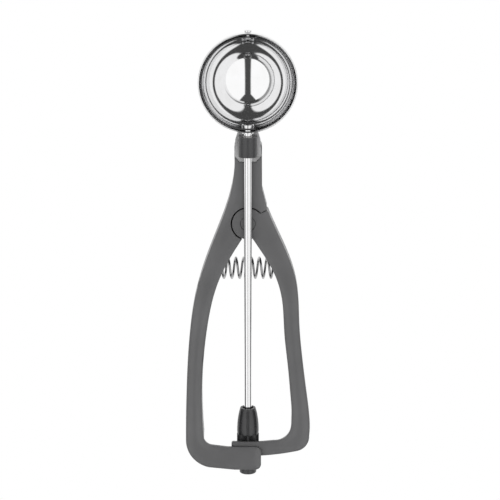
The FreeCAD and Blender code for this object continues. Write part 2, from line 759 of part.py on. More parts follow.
def saddle_seat(body):
    """The recess for the saddle at the top of the neck, and the holes for its screws."""
    recess = sketch_on(body, "XY_Plane", "collar_crown")
    outline(recess, saddle_corners())
    pocket(body, recess, "collar_crown + SADDLE_BACK")
    screw_holes(body, "-HANDLE_BACK - saddle_sheet", "-SADDLE_BACK + saddle_sheet")
    heads = sketch_on(body, "XY_Plane", "-NECK_BACK + screw_head_depth")
    for side in ("", "-"):
        circle(heads, side + "screw_offset", "SCREW_Y", "screw_head_radius")
    pocket(body, heads, "HANDLE_BACK")


def foot(body):
    """The front plate of the foot, the slot that the toothed bar slides in, and the bearing hole."""
    slot = sketch_on(body, "XY_Plane", "PLATE_BACK")
    outline(slot, box_corners("-bar_slot_depth", "-FOOT_WALL_TOP", "foot_right + foot_corner",
                              "-BAR_SLOT_TOP"))
    pocket(body, slot, "PLATE_BACK - RACK_TIP + bar_slot_gap")
    well = sketch_on(body, "XY_Plane", "RACK_TIP")
    outline(well, box_corners("left_inner_8", "-FOOT_WALL_TOP", "foot_right + foot_corner", "-BAR_SLOT_TOP"))
    pocket(body, well, "HANDLE_BACK")
    bore_along_y(body, "FOOT_BORE", "-FOOT_WALL_TOP + plate_gap", "-FOOT_BOTTOM - plate_gap")


def spring_notch(body, side):
    """The notch that an end of the return spring sits in, open to the back, with a centring peg."""
    notch = sketch_on(body, "XY_Plane", "-spring_drop + spring_radius + spring_wire / 2 + spring_notch_gap")
    outline(notch, box_corners(side + "spring_seat", "spring_y - spring_notch_half",
                               side + "hub_radius / 2", "spring_y + spring_notch_half"))
    pocket(body, notch, "HANDLE_BACK")
    start = "-spring_seat" if side else "spring_seat - spring_peg_length"
    peg = sketch_on(body, "YZ_Plane", start)
    circle(peg, "spring_y", "-spring_drop", "spring_peg_radius")
    pad(body, peg, "spring_peg_length")


def squeeze_lever():
    body = new_body("squeeze_lever")
    leg = sketch_on(body, "XY_Plane", "-HANDLE_BACK")
    outline(leg, [
        on_circle("hub_radius", "valley_degrees"),
        ("lever_shoulder_out", "lever_shoulder_rise",
         ("spline", ["right_outer_%d" % place for place in range(2, 9)])),
        ("right_outer_9", "RIGHT_OUTER_END", ("arc", "lever_corner_radius", -1)),
        ("lever_corner_x", below("BAR_BELLY", "lever_corner_x"), ("arc", "BAR_BELLY", -1)),
        ("-bar_left", below("BAR_BELLY", "bar_left")),
        ("-bar_left", below("BAR_INNER", "bar_left"), ("arc", "BAR_INNER", 1)),
        ("bar_corner_x", below("BAR_INNER", "bar_corner_x"), ("arc", "bar_corner_radius", 1)),
        ("right_inner_9", "RIGHT_INNER_END",
         ("spline", ["right_inner_%d" % place for place in range(8, 1, -1)])),
        on_circle("hub_radius", "right_root_degrees") + (("arc", "hub_radius", -1),),
        ("-hub_radius", "0", ("arc", "hub_radius", -1)),
    ])
    pad(body, leg, "HANDLE_BACK + PLATE_FRONT")
    side_cut(body, "bar_front", "lever_foot_back")
    bore_along_z(body, "0", "0", "POCKET_RADIUS + lever_heel_gap", "-HANDLE_BACK - pivot_tail", "-DISC_BACK")
    bore_along_z(body, "0", "0", "SLEEVE_OUTER", "-HANDLE_BACK", "0")
    bore_along_z(body, "0", "0", "pivot_head_radius + pivot_head_gap", "-HEAD_SEAT", "0")
    spring_notch(body, "")
    behind_teeth(body)
    rack(body)


def behind_teeth(body):
    """Clear the bar's back for the pinion, deeper behind the smooth lip that hides the teeth."""
    left = "-bar_left - rack_end"
    relief = sketch_on(body, "XY_Plane", "RACK_TIP")
    outline(relief, box_corners(left, "-BAR_BELLY - rack_end", "bar_leg_start", "RIGHT_INNER_END"))
    pocket(body, relief, "HANDLE_BACK")
    lip = sketch_on(body, "XY_Plane", "RACK_ROOT")
    outline(lip, [
        (left, below("TOOTH_START", "bar_left + rack_end"), ("arc", "TOOTH_START", 1)),
        ("bar_leg_start", below("TOOTH_START", "bar_leg_start")),
        ("bar_leg_start", "-PINION_TOP"),
        (left, "-PINION_TOP"),
    ])
    pocket(body, lip, "HANDLE_BACK + RACK_ROOT")


def rack(body):
    """Tooth gaps across the back of the bar, pointing at the pivot, in mesh with the pinion at rest."""
    gap = sketch_on(body, "XZ_Plane", "BAR_BELLY + rack_end")
    slope = "tan(tooth_slope_degrees * 1 deg)"
    pitch_half = "((TOOTH_PITCH / 2 + rack_tooth_slack) / 2)"
    wide = "(%s + (PITCH_RADIUS - RACK_TIP + tooth_clearance) * %s)" % (pitch_half, slope)
    narrow = "(%s - (RACK_ROOT - PITCH_RADIUS) * %s)" % (pitch_half, slope)
    outline(gap, [
        ("-" + wide, "RACK_TIP - tooth_clearance"),
        (wide, "RACK_TIP - tooth_clearance"),
        (narrow, "RACK_ROOT"),
        ("-" + narrow, "RACK_ROOT"),
    ])
    first = pocket(body, gap, "BAR_BELLY - BAR_INNER + 3 * rack_end")
    ahead = 1 + int(size("rack_gaps_ahead"))
    behind = 1 + int(size("rack_gaps_behind"))
    around(body, first, "Z_Axis", ahead, "360 * rack_gaps_ahead / rack_teeth")
    around(body, first, "Z_Axis", behind, "360 * rack_gaps_behind / rack_teeth").Reversed = True


def around(body, original, axis, count, angle=None):
    """Repeat a feature round one of the body's axes; with no angle, evenly round a full turn."""
    pattern = body.newObject("PartDesign::PolarPattern", body.Name + "_pattern")
    pattern.Originals = [original]
    pattern.Axis = (next(item for item in body.Origin.OriginFeatures if item.Role == axis), [""])
    pattern.Occurrences = count
    if angle:
        pattern.setExpression("Angle", bound(angle))
    body.Tip = pattern
    return pattern


# Pivot

def lever_pivot_pin():
    body = new_body("lever_pivot_pin")
    rod_along_z(body, "0", "0", "pivot_radius", "-NUT_BACK - pivot_tail", "-hub_front - pivot_head_depth")
    rod_along_z(body, "0", "0", "pivot_head_radius", "-hub_front - pivot_head_depth", "-hub_front")


def ring(name, inner, outer, low, high):
    """A flat ring about the pivot's axis."""
    body = new_body(name)
    sketch = sketch_on(body, "XY_Plane", low)
    circle(sketch, "0", "0", outer)
    circle(sketch, "0", "0", inner)
    pad(body, sketch, "(%s) - (%s)" % (high, low))


# Rotor

def drive_rod():
    body = new_body("drive_rod")
    rod_along_y(body, "rod_radius", "NUT_START + rod_past_nut", "-ROD_END")
    cross_hole(body)


def cross_hole(body):
    hole = sketch_on(body, "YZ_Plane", "bell_radius + flute_half")
    circle(hole, "-CROSS_PIN_Y", "0", "cross_pin_radius")
    pocket(body, hole, "2 * (bell_radius + flute_half)")


def pinion():
    body = new_body("pinion")
    shape = sketch_on(body, "XY_Plane")
    outline(shape, [
        ("0", "-PINION_TOP"),
        ("0", "-STEM_END"),
        ("stem_radius", "-STEM_END"),
        ("stem_radius", "-GEAR_END"),
        ("ROOT_RADIUS", "-GEAR_END"),
        ("ROOT_RADIUS", "-BELL_END"),
        ("bell_end_radius", "-BELL_END"),
        ("bell_radius", "-BELL_WIDE", ("arc", "bell_curve_radius", 1)),
        ("pinion_top_radius", "-PINION_TOP"),
    ])
    turned(body, "Revolution", shape)
    tooth = sketch_on(body, "XZ_Plane", "BELL_END")
    slope = "tan(tooth_slope_degrees * 1 deg)"
    pitch_half = "((TOOTH_PITCH / 2 - pinion_tooth_slack) / 2)"
    root = "(ROOT_RADIUS - pinion_end_gap)"
    wide = "(%s + (PITCH_RADIUS - %s) * %s)" % (pitch_half, root, slope)
    narrow = "(%s - tooth_module * %s)" % (pitch_half, slope)
    outline(tooth, [
        ("-" + wide, root),
        (wide, root),
        (narrow, "TIP_RADIUS"),
        ("-" + narrow, "TIP_RADIUS"),
    ])
    around(body, pad(body, tooth, "GEAR_END - BELL_END"), "Y_Axis", int(size("pinion_teeth")))
    flute = sketch_on(body, "YZ_Plane", "flute_half")
    outline(flute, [
        ("-FLUTE_START", "pinion_top_radius + bell_radius"),
        ("-FLUTE_START", "pinion_top_radius"),
        ("-FLUTE_START", "pinion_top_radius - flute_depth / 2", ("arc", "bell_curve_radius", 1)),
        ("-BELL_WIDE", "bell_radius - flute_depth"),
        ("-BELL_END", "bell_end_radius - flute_depth"),
        ("-BELL_END", "pinion_top_radius + bell_radius"),
    ])
    around(body, pocket(body, flute, "2 * flute_half"), "Y_Axis", int(size("pinion_teeth")))
    bore_along_y(body, "rod_radius", "-PINION_TOP + pinion_end_gap", "-ROD_END")
    bore_along_y(body, "pinion_mouth_radius", "-PINION_TOP + pinion_end_gap",
                 "-PINION_TOP - pinion_mouth_depth")
    bore_along_y(body, "cap_screw_radius", "-SCREW_TIP", "-STEM_END - pinion_end_gap")
    cross_hole(body)


def pinion_cross_pin():
    body = new_body("pinion_cross_pin")
    sketch = sketch_on(body, "YZ_Plane", "-pinion_top_radius")
    circle(sketch, "-CROSS_PIN_Y", "0", "cross_pin_radius")
    pad(body, sketch, "2 * pinion_top_radius")


def end_cap():
    body = new_body("end_cap")
    rod_along_y(body, "cap_radius", "-CAP_TOP", "-CAP_END")
    end = size("-CAP_END")
    rounded(body, "cap_round", lambda edge, faces: abs(edge.CenterOfMass.y - end) < 1e-4)
    bore_along_y(body, "stem_radius", "-CAP_TOP + pinion_end_gap", "-STEM_END")
    bore_along_y(body, "cap_screw_radius", "-STEM_END + pinion_end_gap", "-CAP_END - pinion_end_gap")
    bore_along_y(body, "cap_screw_head_radius", "-CAP_END + cap_screw_head_depth",
                 "-CAP_END - pinion_end_gap")


def cap_screw():
    body = new_body("cap_screw")
    rod_along_y(body, "cap_screw_radius", "-SCREW_TIP", "-CAP_END + cap_screw_head_depth")
    rod_along_y(body, "cap_screw_head_radius", "-CAP_END + cap_screw_head_depth", "-CAP_END")
    slot = sketch_on(body, "XZ_Plane", "CAP_END")
    outline(slot, box_corners("-cap_radius", "-screw_slot / 2", "cap_radius", "screw_slot / 2"))
    pocket(body, slot, "screw_slot")


def sweep_blade():
    body = new_body("sweep_blade")
    sketch = sketch_on(body, "XZ_Plane", "-bowl_reach")
    outer = "-sqrt(BLADE_OUTER * BLADE_OUTER - blade_half * blade_half)"
    inner = "-sqrt(BLADE_INNER * BLADE_INNER - blade_half * blade_half)"
    outline(sketch, [
        (outer, "blade_half", ("arc", "BLADE_OUTER", 1)),
        (outer, "-blade_half"),
        (inner, "-blade_half", ("arc", "BLADE_INNER", -1)),
        (inner, "blade_half"),
    ])
    turned(body, "Revolution", sketch, "V_Axis", "180 + 2 * blade_past_degrees")
    bore_along_y(body, "rod_radius", "NUT_START + blade_sheet", "ROD_WALL")
    bore_along_y(body, "tip_pin_radius", "TIP_WALL", "NUB_START - blade_sheet")


def blade_nut():
    """The domed nut that clamps the blade's root on the rod."""
    body = new_body("blade_nut")
    rod_along_y(body, "nut_radius", "NUT_START + nut_length", "NUT_START")
    top = size("NUT_START + nut_length")
    rounded(body, "nut_round", lambda edge, faces: abs(edge.CenterOfMass.y - top) < 1e-4)
    bore_along_y(body, "rod_radius", "NUT_START + rod_past_nut", "NUT_START - blade_sheet")


def blade_tip_pin():
    body = new_body("blade_tip_pin")
    rod_along_y(body, "tip_head_radius", "TIP_END", "TIP_HEAD")
    end = size("TIP_END")
    rounded(body, "tip_head_round", lambda edge, faces: abs(edge.CenterOfMass.y - end) < 1e-4)
    rod_along_y(body, "tip_pin_radius", "TIP_HEAD", "NUB_START")
    rod_along_y(body, "tip_nub_radius", "NUB_START", "NUB_START - tip_nub_depth")


# Return spring

def biarc(start, start_way, end, end_way):
    """Two arcs that leave start along start_way and reach end along end_way."""
    span = end - start
    ways = start_way + end_way
    spread = 2 * (1 - start_way.dot(end_way))
    reach = (math.sqrt(span.dot(ways) ** 2 + spread * span.dot(span)) - span.dot(ways)) / spread
    first = start + start_way * reach
    second = end - end_way * reach
    middle = (first + second) / 2
    return [arc_by_corner(start, first, middle), arc_by_corner(middle, second, end)]


def arc_by_corner(start, corner, end):
    """The arc that touches the lines from a corner to its two ends."""
    chord = (start + end) / 2
    rise = corner - chord
    half = (end - start).Length / 2
    sagitta = half * math.tan(math.atan2(rise.Length, half) / 2)
    return Part.Arc(start, chord + rise.normalize() * sagitta, end).toShape()


def return_spring():
    """A wound wire whose ends run straight into the legs' seats, one unbroken tube."""
    wire = size("spring_wire")
    radius = size("spring_radius")
    bend = size("spring_bend_radius")
    seat = size("spring_seat")
    turns = size("spring_turns")
    centre = Vector(0, size("spring_y"), -size("spring_drop"))
    along = Vector(1, 0, 0)
    quarters = int(round(4 * turns))
    lead = wind_lead(wire, radius, bend, seat, turns)
    start_x = -seat + lead[1]
    pitch = (2 * seat - 2 * lead[1]) / turns

    def point(step):
        angle = step * math.pi / 2
        return centre + Vector(start_x + pitch * step / 4, radius * math.cos(angle), radius * math.sin(angle))

    def way(step):
        angle = step * math.pi / 2
        turn = Vector(0, -math.sin(angle), math.cos(angle)) * radius
        return (turn + along * (pitch / (2 * math.pi))).normalize()

    edges = []
    entry = point(0) - way(0) * lead[0]
    exit_corner = point(quarters) + way(quarters) * lead[0]
    entry_start = entry - along * lead[0]
    exit_end = exit_corner + along * lead[0]
    edges.append(Part.makeLine(Vector(-seat, entry.y, entry.z), entry_start))
    edges.append(arc_by_corner(entry_start, entry, point(0)))
    for step in range(quarters):
        edges += biarc(point(step), way(step), point(step + 1), way(step + 1))
    edges.append(arc_by_corner(point(quarters), exit_corner, exit_end))
    edges.append(Part.makeLine(exit_end, Vector(seat, exit_corner.y, exit_corner.z)))
    path = Part.Wire(edges)
    section = Part.Wire(Part.makeCircle(wire / 2, Vector(-seat, entry.y, entry.z), along))
    tube = path.makePipeShell([section], True, False)
    item = doc.addObject("Part::Feature", "return_spring")
    item.Shape = tube
    placed(item, "return_spring")
    print("spring: volume over section times length %.4f, least gap %.2f mm"
          % (tube.Volume / (math.pi * wire * wire / 4 * path.Length), least_gap(path, wire)))


def wind_lead(wire, radius, bend, seat, turns):
    """How far the bend's corner lies from the first turn, and how far in that turn starts."""
    pitch = 2 * seat / turns
    for _ in range(20):
        steepness = math.atan2(2 * math.pi * radius, pitch)
        reach = bend * math.tan(steepness / 2)
        lead = wire + reach + reach * math.cos(steepness)
        pitch = (2 * seat - 2 * lead) / turns
    return reach, lead


def least_gap(path, wire):
    """The least gap of a wound tube to itself, measured on points along its path."""
    points = path.discretize(Distance=wire / 4)
    apart = 12
    gaps = [(points[first] - points[second]).Length
            for first in range(len(points)) for second in range(first + apart, len(points))]
    return min(gaps) - wire


def tip_eyelet():
    bushing("tip_eyelet", "tip_pin_radius + running_gap", "tip_pin_radius + running_gap + tip_eyelet_wall",
            "TIP_WALL + tip_play / 3", "TIP_WALL - bowl_wall - tip_play / 3")


def foot_bushing():
    bushing("foot_bushing", "stem_radius + running_gap", "FOOT_BORE", "-FOOT_WALL_TOP", "-FOOT_BOTTOM")


bowl()
bowl_saddle()
rod_collar()
bushing("collar_bushing", "BUSHING_INNER", "BUSHING_OUTER", "COLLAR_START + collar_length", "COLLAR_START")
bowl_bushing()
tip_eyelet()
collar_screws()
frame_handle()
foot_bushing()
lever_pivot_pin()
ring("pivot_washer", "pivot_radius", "washer_radius", "-WASHER_BACK", "-WASHER_FRONT")
ring("pivot_push_nut", "pivot_radius", "push_nut_radius", "-NUT_BACK", "-WASHER_BACK")
return_spring()
squeeze_lever()
ring("pivot_sleeve", "pivot_radius + running_gap", "SLEEVE_OUTER", "-DISC_BACK", "-HEAD_SEAT")
drive_rod()
pinion()
pinion_cross_pin()
end_cap()
cap_screw()
sweep_blade()
blade_nut()
blade_tip_pin()

doc.recompute()
for item in doc.Objects:
    if "Invalid" in item.State or "Error" in item.State:
        raise RuntimeError("%s failed: %s" % (item.Label, item.State))
for item in SUB_PARTS:
    if item.Shape.isNull() or not item.Shape.isValid():
        raise RuntimeError("%s has no valid shape" % item.Label)

os.makedirs("parts", exist_ok=True)
for item in SUB_PARTS:
    item.Shape.exportStep("parts/%s.step" % item.Label)
    print("%-18s %9.1f mm3 in %d" % (item.Label, item.Shape.Volume, len(item.Shape.Solids)))
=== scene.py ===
"""Lever ice cream scoop: finishes, refined pieces, studio light and camera, in the CAD model's frame."""
import json
import math

import bmesh
import bpy
from mathutils import Matrix, Vector
from mathutils.bvhtree import BVHTree
from mathutils.geometry import delaunay_2d_cdt
from mathutils.kdtree import KDTree


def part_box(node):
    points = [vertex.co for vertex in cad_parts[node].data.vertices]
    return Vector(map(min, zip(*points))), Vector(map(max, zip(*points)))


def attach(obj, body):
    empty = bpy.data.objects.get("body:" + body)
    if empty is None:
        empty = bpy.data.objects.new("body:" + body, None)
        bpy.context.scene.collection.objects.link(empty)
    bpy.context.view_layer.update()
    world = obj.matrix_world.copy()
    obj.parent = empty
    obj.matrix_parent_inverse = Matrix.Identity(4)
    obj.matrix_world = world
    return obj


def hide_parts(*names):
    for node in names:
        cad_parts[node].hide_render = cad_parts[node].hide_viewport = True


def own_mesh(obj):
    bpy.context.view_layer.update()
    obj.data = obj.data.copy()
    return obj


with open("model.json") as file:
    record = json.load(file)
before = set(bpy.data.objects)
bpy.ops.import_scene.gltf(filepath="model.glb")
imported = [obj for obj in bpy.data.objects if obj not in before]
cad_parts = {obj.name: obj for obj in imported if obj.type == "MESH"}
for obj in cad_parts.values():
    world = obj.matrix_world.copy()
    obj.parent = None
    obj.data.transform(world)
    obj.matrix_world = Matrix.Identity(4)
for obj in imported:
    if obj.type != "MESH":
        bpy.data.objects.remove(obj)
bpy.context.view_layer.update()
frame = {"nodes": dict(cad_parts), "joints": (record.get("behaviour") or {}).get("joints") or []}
nodes = frame["nodes"]

MM = 0.001
PIVOT = Vector(frame["joints"][0]["pos_m"])


def local(x, y, z):
    """A point given in millimetres from the lever's pivot, on the rod's axis, in the row's frame."""
    return PIVOT + Vector((x, y, z)) * MM


# Node materials

def new_material(name):
    """A material with an empty node tree, and its principled shader."""
    material = bpy.data.materials.new(name)
    material.use_nodes = True
    tree = material.node_tree
    tree.nodes.clear()
    output = tree.nodes.new("ShaderNodeOutputMaterial")
    shader = tree.nodes.new("ShaderNodeBsdfPrincipled")
    tree.links.new(shader.outputs["BSDF"], output.inputs["Surface"])
    return material, tree, shader


def surface_point(tree, stretch):
    """The place on the object, stretched along its axes, that the textures are laid out on."""
    place = tree.nodes.new("ShaderNodeTexCoord")
    mapping = tree.nodes.new("ShaderNodeMapping")
    mapping.inputs["Scale"].default_value = stretch
    tree.links.new(place.outputs["Object"], mapping.inputs["Vector"])
    return mapping.outputs["Vector"]


def noise(tree, point, scale, detail=2.0, roughness=0.5):
    texture = tree.nodes.new("ShaderNodeTexNoise")
    texture.inputs["Scale"].default_value = scale
    texture.inputs["Detail"].default_value = detail
    texture.inputs["Roughness"].default_value = roughness
    tree.links.new(point, texture.inputs["Vector"])
    return texture.outputs["Fac"]


def spread(tree, value, low, high):
    """Map a noise value, which lies mostly between 0.3 and 0.7, to the range from low to high."""
    mapped = tree.nodes.new("ShaderNodeMapRange")
    mapped.inputs["From Min"].default_value = 0.3
    mapped.inputs["From Max"].default_value = 0.7
    mapped.inputs["To Min"].default_value = low
    mapped.inputs["To Max"].default_value = high
    tree.links.new(value, mapped.inputs["Value"])
    return mapped.outputs["Result"]


def tinted(tree, value, dark, light):
    """A colour between two greys, chosen by a noise value."""
    ramp = tree.nodes.new("ShaderNodeValToRGB")
    ramp.color_ramp.elements[0].position = 0.3
    ramp.color_ramp.elements[1].position = 0.7
    ramp.color_ramp.elements[0].color = (*dark, 1)
    ramp.color_ramp.elements[1].color = (*light, 1)
    tree.links.new(value, ramp.inputs["Fac"])
    return ramp.outputs["Color"]


def bump(tree, shader, height, distance):
    node = tree.nodes.new("ShaderNodeBump")
    node.inputs["Distance"].default_value = distance
    tree.links.new(height, node.inputs["Height"])
    tree.links.new(node.outputs["Normal"], shader.inputs["Normal"])


def moulded_plastic(name, dark, light, rough, grain):
    """Moulded plastic: a fine spark-eroded grain, a broad tone drift and uneven gloss."""
    material, tree, shader = new_material(name)
    even = surface_point(tree, (1, 1, 1))
    drift = noise(tree, even, 45, 3)
    fine = noise(tree, even, 2600, 2, 0.6)
    tree.links.new(tinted(tree, drift, dark, light), shader.inputs["Base Color"])
    tree.links.new(spread(tree, noise(tree, even, 260, 4), rough - 0.05, rough + 0.05),
                   shader.inputs["Roughness"])
    bump(tree, shader, fine, grain)
    return material


TONE_DRIFT = 0.02


def steel(name, tone, rough, stretch, scratch, scale=900.0):
    """Steel with fine drawn or polished lines along the axis that the stretch makes long."""
    material, tree, shader = new_material(name)
    shader.inputs["Metallic"].default_value = 1.0
    lines = noise(tree, surface_point(tree, stretch), scale, 4, 0.65)
    haze = noise(tree, surface_point(tree, (1, 1, 1)), 120, 3)
    dark = (tone - TONE_DRIFT, tone - TONE_DRIFT, tone - TONE_DRIFT)
    light = (tone + TONE_DRIFT, tone + TONE_DRIFT, tone + 1.3 * TONE_DRIFT)
    tree.links.new(tinted(tree, haze, dark, light), shader.inputs["Base Color"])
    tree.links.new(spread(tree, haze, rough * 0.8, rough * 1.25), shader.inputs["Roughness"])
    bump(tree, shader, lines, scratch)
    return material


GREY = moulded_plastic("grey_handle_plastic", (0.135, 0.135, 0.137), (0.156, 0.156, 0.159), 0.34, 0.000007)
DARK = moulded_plastic("dark_gloss_plastic", (0.050, 0.050, 0.052), (0.064, 0.064, 0.066), 0.30, 0.000004)
BEARING = moulded_plastic("off_white_bearing", (0.60, 0.58, 0.53), (0.68, 0.66, 0.61), 0.40, 0.000005)
MIRROR = steel("mirror_steel_bowl", 0.86, 0.055, (1, 1, 1), 0.00000005, 300)
BLADE = steel("polished_blade", 0.76, 0.07, (1, 0.15, 1), 0.000001)
ROD = steel("polished_rod", 0.90, 0.09, (1, 0.02, 1), 0.0000002, 2500)
SATIN = steel("satin_saddle", 0.66, 0.30, (1, 0.03, 1), 0.000003, 3000)
WIRE = steel("drawn_spring_wire", 0.38, 0.14, (1, 1, 1), 0.000002, 1500)
SCREW = steel("turned_steel", 0.60, 0.24, (1, 1, 1), 0.000004, 1800)


def finish(item, material):
    """Give an object one material."""
    item.data.materials.clear()
    item.data.materials.append(material)
    return item


# Pieces made from the CAD solids' shapes, with the edges broken as moulded or turned ones are

def refined(node, width, material, body, segments=3, edge_angle=30, crowns=()):
    """A copy of a CAD node with rounded edges, which stands for it."""
    mesh = bmesh.new()
    mesh.from_mesh(nodes[node].data)
    bmesh.ops.remove_doubles(mesh, verts=mesh.verts, dist=1e-6)
    bmesh.ops.dissolve_limit(mesh, angle_limit=math.radians(0.3), verts=mesh.verts, edges=mesh.edges)
    for crown in crowns:
        crowned(mesh, *crown)
    data = bpy.data.meshes.new(node + "_refined")
    mesh.to_mesh(data)
    mesh.free()
    item = bpy.data.objects.new(node + "_refined", data)
    bpy.context.scene.collection.objects.link(item)
    soften(item, width, segments, edge_angle, bool(crowns))
    if crowns:
        even_walls(item)
    finish(item, material)
    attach(item, body)
    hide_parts(node)
    return item


WALL_REACH = 4.5
WALL_TILT = 0.3
SAME_WAY = 0.9


def even_walls(item):
    """Shade a moulding's side walls as one curve, by the mean of the wall's normals near each corner."""
    data = item.data
    walls = [face for face in data.polygons if abs(face.normal.z) < WALL_TILT]
    samples = [(data.vertices[number].co, face.normal.copy()) for face in walls for number in face.vertices]
    tree = KDTree(len(samples))
    for number, (spot, _) in enumerate(samples):
        tree.insert((spot.x, spot.y, 0), number)
    tree.balance()
    normals = [corner.vector.copy() for corner in data.corner_normals]
    known = {}
    for face in walls:
        for loop in face.loop_indices:
            spot = data.vertices[data.loops[loop].vertex_index].co
            key = (round(spot.x, 5), round(spot.y, 5), *(round(part, 2) for part in face.normal))
            if key not in known:
                total = Vector((0, 0, 0))
                for _, number, away in tree.find_range((spot.x, spot.y, 0), WALL_REACH * MM):
                    normal = samples[number][1]
                    if normal.dot(face.normal) > SAME_WAY:
                        total += normal * (1.001 - away / (WALL_REACH * MM))
                known[key] = total.normalized()
            normals[loop] = known[key]
    data.normals_split_custom_set([tuple(normal) for normal in normals])


RIM_STEP = 0.9
ROW_SHARES = (0.04, 0.12, 0.25, 0.42, 0.62, 0.82)
INNER_PITCH = 1.3
FULLNESS = 0.92
RIM_SPOTS = 4


def crowned(mesh, side, reach, depth_at, is_rim):
    """Round a moulding's front (side 1) or back (side -1) down towards its outer rim.

    The face is meshed anew with rows of points along the rim, and each point drops by most of a
    quarter ellipse on its distance from the rim. The reach is in millimetres, and depth_at gives the
    ellipse's depth in millimetres at a height along Y.
    """
    for edge in border(outer_face(mesh, side)):
        cuts = int(edge.calc_length() / (RIM_STEP * MM))
        if cuts:
            bmesh.ops.subdivide_edges(mesh, edges=[edge], cuts=cuts)
    face = outer_face(mesh, side)
    edges = border(face)
    old = bmesh.ops.triangulate(mesh, faces=list(face))["faces"]
    mesh.verts.index_update()
    tree = BVHTree.FromPolygons([vert.co[:] for vert in mesh.verts],
                                [[vert.index for vert in part.verts] for part in old])
    corners = list({vert for edge in edges for vert in edge.verts})
    rim_edges = [edge for edge in edges if is_rim(*edge_middle(edge))]
    rim = KDTree(RIM_SPOTS * len(rim_edges))
    for number, edge in enumerate(rim_edges):
        for step in range(RIM_SPOTS):
            spot = edge.verts[0].co.lerp(edge.verts[1].co, (step + 0.5) / RIM_SPOTS)
            rim.insert((spot.x, spot.y, 0), RIM_SPOTS * number + step)
    rim.balance()
    fringe = KDTree(len(corners))
    for number, vert in enumerate(corners):
        fringe.insert((*vert.co.xy, 0), number)
    fringe.balance()

    def from_rim(spot):
        return rim.find((spot[0], spot[1], 0))[2] / MM

    def drop(spot):
        share = FULLNESS * max(0.0, 1.0 - from_rim(spot) / reach)
        depth = depth_at((spot[1] - PIVOT.y) / MM)
        return depth * (1.0 - math.sqrt(1.0 - share * share)) * MM * side

    spots = [vert.co.xy for vert in corners]
    for gap in (share * reach for share in ROW_SHARES):
        for edge in rim_edges:
            middle = (edge.verts[0].co + edge.verts[1].co) / 2
            way = (edge.verts[1].co - edge.verts[0].co).xy.normalized()
            for sense in (1, -1):
                spot = middle.xy + Vector((-way.y, way.x)) * gap * MM * sense
                if from_rim(spot) > 0.93 * gap and height_of(tree, spot, side) is not None:
                    spots.append(spot)
    low = [min(vert.co[axis] for vert in corners) for axis in (0, 1)]
    high = [max(vert.co[axis] for vert in corners) for axis in (0, 1)]
    pitch = INNER_PITCH * MM
    for line in range(int((high[1] - low[1]) / pitch)):
        for place in range(int((high[0] - low[0]) / pitch)):
            spot = Vector((low[0] + (place + 0.5 * (line % 2)) * pitch, low[1] + (line + 0.5) * pitch))
            clear = from_rim(spot) > 0.92 * reach and fringe.find((*spot, 0))[2] > 0.5 * pitch
            if clear and height_of(tree, spot, side) is not None:
                spots.append(spot)
    number_of = {vert: number for number, vert in enumerate(corners)}
    fences = [(number_of[edge.verts[0]], number_of[edge.verts[1]]) for edge in edges]
    places, _, cells, sources, _, _ = delaunay_2d_cdt(spots, fences, [], 0, 1e-8)
    bmesh.ops.delete(mesh, geom=old, context="FACES_ONLY")
    made = []
    for spot, source in zip(places, sources):
        known = [number for number in source if number < len(corners)]
        if known:
            vert = corners[known[0]]
            vert.co.z -= drop(vert.co)
        else:
            height = height_of(tree, spot, side) or 0.0
            vert = mesh.verts.new((spot.x, spot.y, height - drop(spot)))
        made.append(vert)
    for cell in cells:
        middle = sum((places[number] for number in cell), Vector((0, 0))) / len(cell)
        ring = [made[number] for number in cell]
        if height_of(tree, middle, side) is not None and not mesh.faces.get(ring):
            mesh.faces.new(ring if side > 0 else ring[::-1])
    spare = [vert for vert in mesh.verts if not vert.link_faces]
    bmesh.ops.delete(mesh, geom=spare, context="VERTS")


def outer_face(mesh, side):
    """The largest connected group of faces that look to the front (side 1) or the back (side -1)."""
    left = {face for face in mesh.faces if face.normal.z * side > 0.9}
    groups = []
    while left:
        queue = [left.pop()]
        group = set(queue)
        while queue:
            for edge in queue.pop().edges:
                near = {face for face in edge.link_faces if face in left}
                left -= near
                group |= near
                queue += near
        groups.append(group)
    return max(groups, key=lambda group: sum(face.calc_area() for face in group))


def border(group):
    """The edges round a group of faces."""
    edges = {edge for face in group for edge in face.edges}
    return [edge for edge in edges if sum(face in group for face in edge.link_faces) == 1]


def edge_middle(edge):
    """The middle of an edge in millimetres from the pivot, in X and Y."""
    middle = (edge.verts[0].co + edge.verts[1].co) / 2 - PIVOT
    return middle.x / MM, middle.y / MM


def height_of(tree, spot, side):
    """The height of the old face over or under a spot, or None beside it."""
    place = tree.ray_cast(Vector((spot[0], spot[1], side)), Vector((0, 0, -side)))[0]
    return None if place is None else place.z


def soften(item, width, segments, edge_angle, split=False):
    """Bevel the sharp edges of a mesh object and shade it smoothly between flat faces.

    With split, the faces are cut into triangles before they are shaded.
    """
    bevel = item.modifiers.new("edges", "BEVEL")
    bevel.width = width * MM
    bevel.segments = segments
    bevel.limit_method = "ANGLE"
    bevel.angle_limit = math.radians(edge_angle)
    bevel.harden_normals = False
    bevel.miter_outer = "MITER_ARC"
    if split:
        item.modifiers.new("triangles", "TRIANGULATE")
    settle(item)
    for face in item.data.polygons:
        face.use_smooth = True
    weighted = item.modifiers.new("normals", "WEIGHTED_NORMAL")
    weighted.keep_sharp = True
    weighted.weight = 80
    settle(item)


def settle(item):
    """Apply all of an object's modifiers."""
    depsgraph = bpy.context.evaluated_depsgraph_get()
    data = bpy.data.meshes.new_from_object(item.evaluated_get(depsgraph))
    item.modifiers.clear()
    old = item.data
    item.data = data
    bpy.data.meshes.remove(old)


